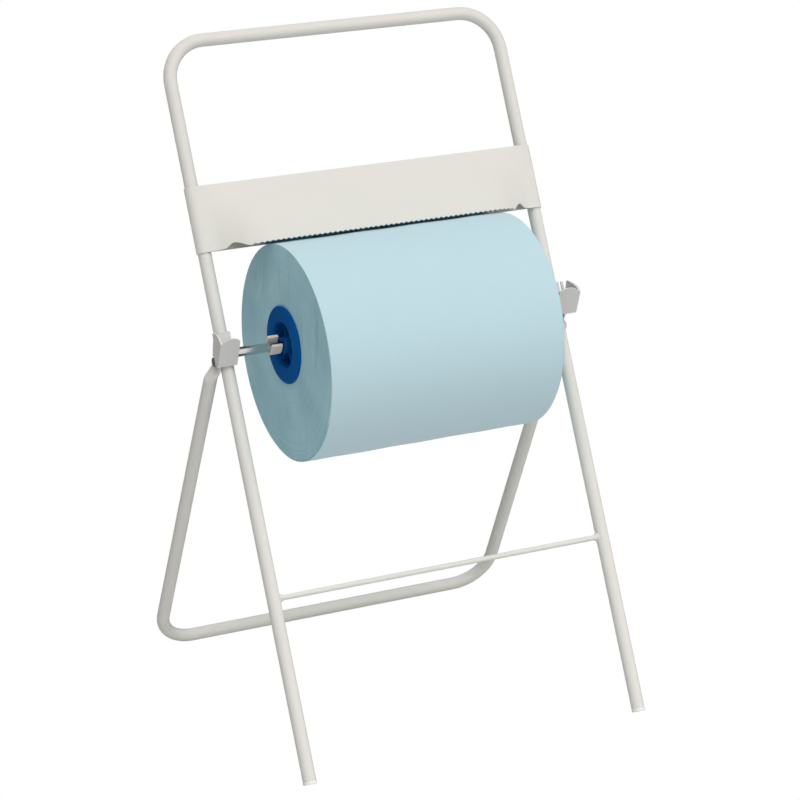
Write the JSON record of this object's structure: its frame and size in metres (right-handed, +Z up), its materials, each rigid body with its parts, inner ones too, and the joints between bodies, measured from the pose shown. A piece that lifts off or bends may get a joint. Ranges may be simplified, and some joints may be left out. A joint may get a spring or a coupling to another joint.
{
  "type": "floor standing paper roll stand",
  "caption": "Folding floor stand of bent tube that carries a wide paper roll on an axle below a serrated tear plate.",
  "frame": {"origin": "on the floor, midway across the overall width and depth", "axes": "X across the stand, +Z up, the user stands at -Y"},
  "size_m": [0.608, 0.559, 0.9958],
  "materials": {
    "white_paint": "satin white powder coat",
    "white_plastic": "matte",
    "dark_steel": "blackened",
    "grey_plastic": "matte",
    "polished_steel": "polished",
    "cream_plastic": "semi-gloss",
    "blue_plastic": "semi-gloss",
    "core_card": "plain",
    "blue_paper": "soft matte"
  },
  "bodies": {
    "stand": {"front_frame": "white_paint", "crossbar": "white_paint", "tear_plate": "white_paint", "tie_plate": "white_paint", "left_cradle": "white_paint", "right_cradle": "white_paint", "pivot_bolts": "dark_steel", "pivot_nuts": "dark_steel", "saddle_washers": "grey_plastic", "left_foot_plug": "white_plastic", "right_foot_plug": "white_plastic", "slack_wraps": "blue_paper"},
    "rear_leg": {"rear_frame": "white_paint"},
    "axle": {"axle": "polished_steel"},
    "left_clip": {"left_clip": "cream_plastic"},
    "right_clip": {"right_clip": "cream_plastic"},
    "roll": {"paper_roll": "blue_paper", "core_tube": "core_card", "left_core_plug": "blue_plastic", "right_core_plug": "blue_plastic"}
  },
  "joints": [
    {"name": "rear_fold", "type": "hinge", "parent": "stand", "child": "rear_leg", "pos_m": [0, 0.01919, 0.5614], "axis": [-1, 0, 0], "range_deg": [0, 38]},
    {"name": "axle_turn", "type": "hinge", "parent": "stand", "child": "axle", "pos_m": [0, 0.00488, 0.5769], "axis": [1, 0, 0], "continuous": true},
    {"name": "roll_spin", "type": "hinge", "parent": "axle", "child": "roll", "pos_m": [0, 0.00488, 0.5769], "axis": [1, 0, 0], "continuous": true},
    {"name": "left_clip_slide", "type": "slide", "parent": "axle", "child": "left_clip", "axis": [-1, 0, 0], "range_m": [0, 0.036]},
    {"name": "right_clip_slide", "type": "slide", "parent": "axle", "child": "right_clip", "axis": [1, 0, 0], "range_m": [0, 0.036]}
  ]
}
